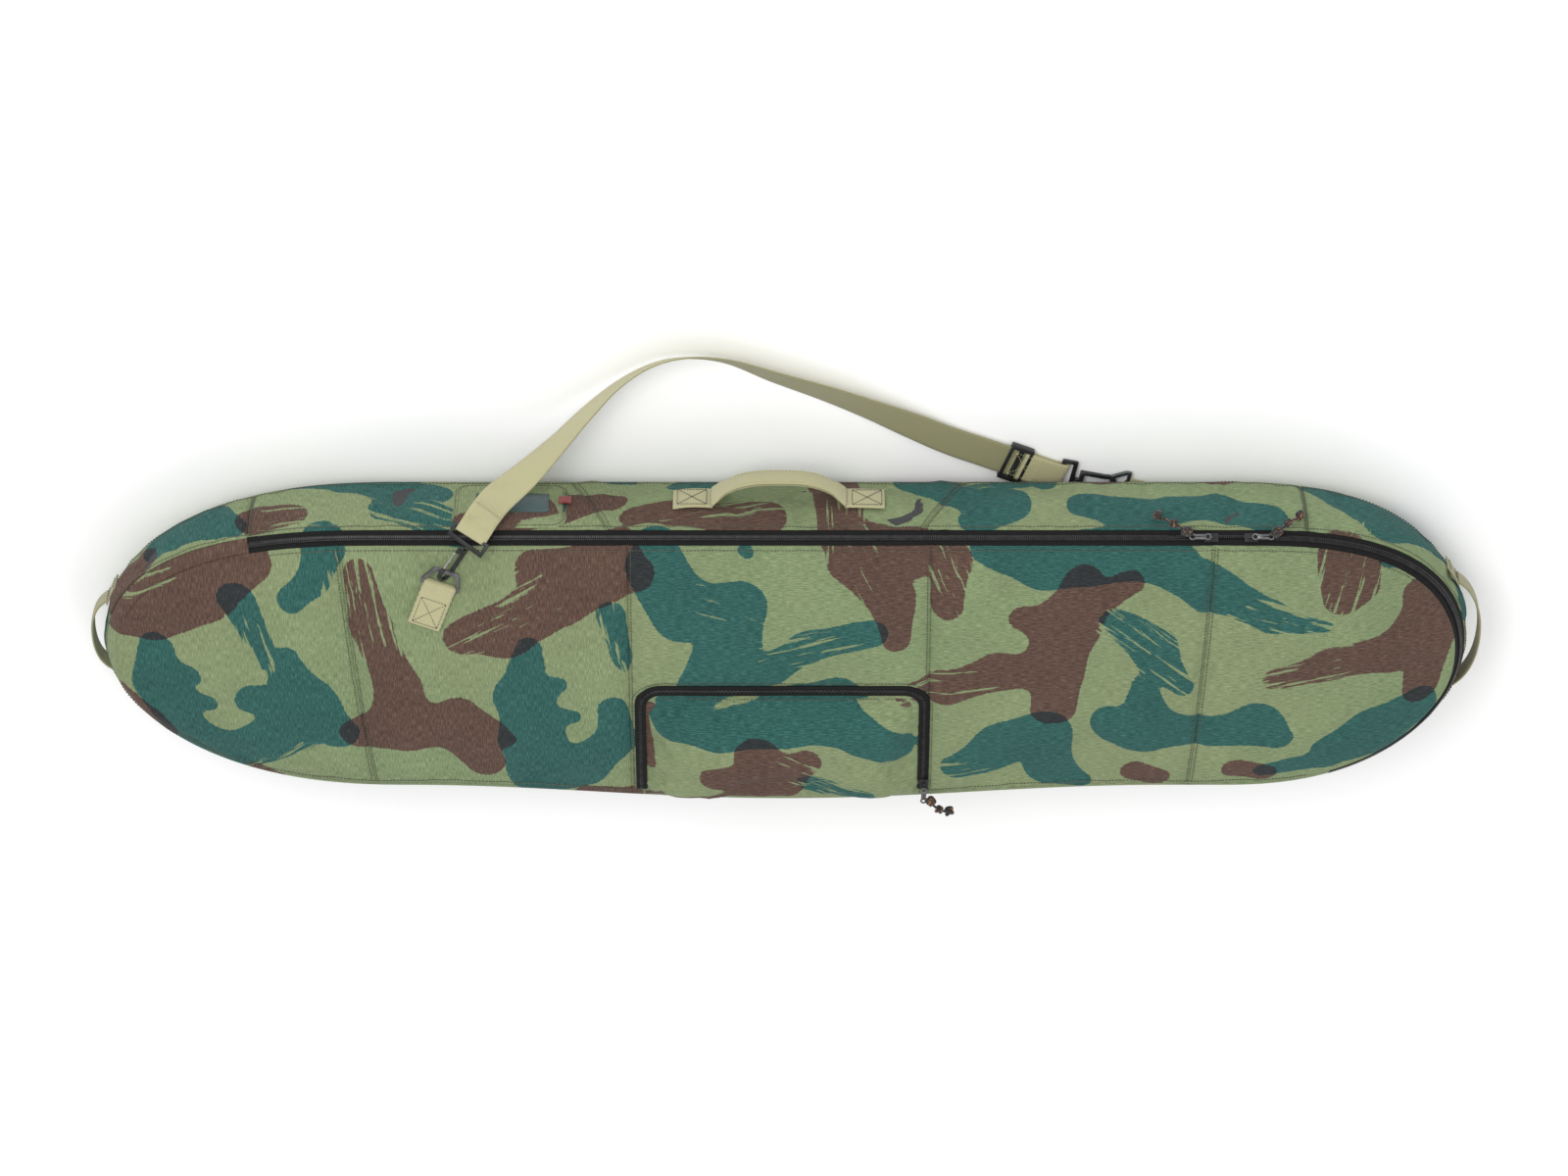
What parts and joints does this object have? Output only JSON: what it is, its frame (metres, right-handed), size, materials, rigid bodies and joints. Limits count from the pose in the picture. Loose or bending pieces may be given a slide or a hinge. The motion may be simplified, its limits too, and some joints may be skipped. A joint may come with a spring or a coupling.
{
  "type": "snowboard bag",
  "caption": "Long padded snowboard bag with a peel-back zipped front, front pocket, grab handles and a clip-on shoulder strap.",
  "frame": {"origin": "middle of the flat back, on the surface that the bag lies on", "axes": "+X along the bag towards its zip-round end, +Y towards the carry handle, +Z out of the front"},
  "size_m": [1.6366, 0.5748, 0.185],
  "materials": {
    "camo_fabric": "heathered woven polyester, matt",
    "foam": "closed-cell foam",
    "lining": "plain woven lining",
    "binding": "turned seam edge",
    "zip_black": "woven zip tape with nylon coil",
    "zip_slider": "satin black",
    "pull_metal": "satin black",
    "pull_cord": "braided cord with orange flecks",
    "webbing_khaki": "ribbed polyester webbing",
    "webbing_olive": "ribbed polyester webbing",
    "ring_metal": "gunmetal",
    "hook_black": "satin acetal",
    "gate_wire": "bright wire",
    "card": "satin"
  },
  "bodies": {
    "bag": {"back_panel": "camo_fabric", "back_foam": "foam", "back_lining": "lining", "gusset_top_left": "camo_fabric", "gusset_top_centre": "camo_fabric", "gusset_top_right": "camo_fabric", "gusset_bottom": "camo_fabric", "gusset_left_end": "camo_fabric", "gusset_right_end": "camo_fabric", "gusset_foam": "foam", "gusset_lining": "lining", "front_panel_left": "camo_fabric", "front_panel_mid_left": "camo_fabric", "front_panel_centre": "camo_fabric", "front_panel_mid_right": "camo_fabric", "front_foam": "foam", "front_lining": "lining", "front_binding": "binding", "back_binding": "binding", "zip_tape_gusset": "zip_black", "zip_coil_gusset": "zip_black", "pocket_zip_tape": "zip_black", "pocket_zip_coil": "zip_black", "carry_handle_tabs": "webbing_khaki", "end_handle_tabs": "webbing_olive", "ring_tab_left": "webbing_khaki", "ring_tab_right": "webbing_khaki", "id_pocket": "camo_fabric"},
    "front_flap": {"flap_panel_mid_left": "camo_fabric", "flap_panel_centre": "camo_fabric", "flap_panel_mid_right": "camo_fabric", "flap_panel_right": "camo_fabric", "flap_foam": "foam", "flap_lining": "lining", "zip_tape_flap": "zip_black", "zip_coil_flap": "zip_black"},
    "pocket_front": {"pocket_panel": "camo_fabric"},
    "pocket_runner": {"pocket_slider": "zip_slider"},
    "pocket_puller": {"pocket_pull": "pull_metal", "pocket_cord": "pull_cord"},
    "runner_left": {"slider_left": "zip_slider"},
    "puller_left": {"pull_left": "pull_metal", "cord_left": "pull_cord"},
    "runner_right": {"slider_right": "zip_slider"},
    "puller_right": {"pull_right": "pull_metal", "cord_right": "pull_cord"},
    "grab_handle": {"carry_handle": "webbing_khaki"},
    "tip_handle_left": {"end_handle_left": "webbing_olive"},
    "tip_handle_right": {"end_handle_right": "webbing_olive"},
    "dee_left": {"ring_left": "ring_metal"},
    "strap": {"shoulder_strap": "webbing_khaki", "strap_loop_left": "hook_black"},
    "snap_left": {"hook_left": "hook_black"},
    "snap_gate_left": {"gate_left": "gate_wire"},
    "snap_right": {"ring_right": "ring_metal", "hook_right": "hook_black"},
    "snap_gate_right": {"gate_right": "gate_wire"},
    "swivel_loop_right": {"strap_loop_right": "hook_black"},
    "triglide": {"strap_adjuster": "hook_black"},
    "name_card": {"id_card": "card"}
  },
  "joints": [
    {"name": "front_flap_fold", "type": "hinge", "parent": "bag", "child": "front_flap", "pos_m": [-0.28, 0.174, 0.16], "axis": [0.9419, -0.3358, 0], "range_deg": [0, 120]},
    {"name": "pocket_open", "type": "hinge", "parent": "bag", "child": "pocket_front", "pos_m": [0, -0.184, 0.149], "axis": [1, 0, 0], "range_deg": [0, 110]},
    {"name": "pocket_zip_run", "type": "slide", "parent": "bag", "child": "pocket_runner", "axis": [0, 0.9888, 0.1495], "range_m": [0, 0.07]},
    {"name": "pocket_pull_swing", "type": "hinge", "parent": "pocket_runner", "child": "pocket_puller", "pos_m": [0.1633, -0.164, 0.1536], "axis": [1, 0, 0], "range_deg": [-10, 0]},
    {"name": "zip_run_left", "type": "slide", "parent": "bag", "child": "runner_left", "axis": [1, 0, 0], "range_m": [-0.92, 0]},
    {"name": "pull_swing_left", "type": "hinge", "parent": "runner_left", "child": "puller_left", "pos_m": [0.484, 0.18526, 0.13745], "axis": [0, 0.7071, 0.7071], "range_deg": [-10, 10]},
    {"name": "zip_run_right", "type": "slide", "parent": "bag", "child": "runner_right", "axis": [1, 0, 0], "range_m": [0, 0.02]},
    {"name": "pull_swing_right", "type": "hinge", "parent": "runner_right", "child": "puller_right", "pos_m": [0.538, 0.18526, 0.13745], "axis": [0, 0.7071, 0.7071], "range_deg": [-10, 10]},
    {"name": "carry_handle_lift", "type": "hinge", "parent": "bag", "child": "grab_handle", "pos_m": [-0.008, 0.1995, 0.077], "axis": [1, 0, 0], "range_deg": [-20, 20]},
    {"name": "end_handle_left_lift", "type": "hinge", "parent": "bag", "child": "tip_handle_left", "pos_m": [-0.797, 0, 0.062], "axis": [0, 1, 0], "range_deg": [-12, 12]},
    {"name": "end_handle_right_lift", "type": "hinge", "parent": "bag", "child": "tip_handle_right", "pos_m": [0.789, 0, 0.062], "axis": [0, 1, 0], "range_deg": [-12, 12]},
    {"name": "ring_left_tilt", "type": "hinge", "parent": "bag", "child": "dee_left", "pos_m": [-0.39785, 0.12909, 0.15483], "axis": [0.9272, -0.3746, 0], "range_deg": [-4, 4]},
    {"name": "strap_swing", "type": "hinge", "parent": "bag", "child": "strap", "pos_m": [-0.389, 0.151, 0.159], "axis": [0.9763, 0.0393, -0.2128], "range_deg": [0, 30]},
    {"name": "hook_left_swivel", "type": "hinge", "parent": "strap", "child": "snap_left", "pos_m": [-0.36818, 0.18187, 0.15142], "axis": [0.548, 0.8124, -0.1994], "range_deg": [-8, 8]},
    {"name": "gate_left_open", "type": "hinge", "parent": "snap_left", "child": "snap_gate_left", "pos_m": [-0.37859, 0.1777, 0.16097], "axis": [0.7067, -0.3221, 0.6299], "range_deg": [0, 16], "stiffness_Nm_per_rad": 0.02, "springref_deg": -17.19},
    {"name": "hook_right_swing", "type": "hinge", "parent": "bag", "child": "snap_right", "pos_m": [0.39765, 0.16311, 0.0044], "axis": [0, 0, 1], "range_deg": [-3, 3]},
    {"name": "gate_right_open", "type": "hinge", "parent": "snap_right", "child": "snap_gate_right", "pos_m": [0.34572, 0.16413, 0.0044], "axis": [0, 0, 1], "range_deg": [0, 16], "stiffness_Nm_per_rad": 0.02, "springref_deg": -17.19},
    {"name": "hook_right_swivel", "type": "hinge", "parent": "snap_right", "child": "swivel_loop_right", "pos_m": [0.337, 0.176, 0.0044], "axis": [-0.9781, 0.2079, 0], "range_deg": [-3, 3]},
    {"name": "strap_adjust", "type": "slide", "parent": "strap", "child": "triglide", "axis": [0.9269, -0.3752, 0], "range_m": [-0.05, 0.02]},
    {"name": "name_card_pull", "type": "slide", "parent": "bag", "child": "name_card", "axis": [1, 0, 0], "range_m": [0, 0.07]}
  ]
}
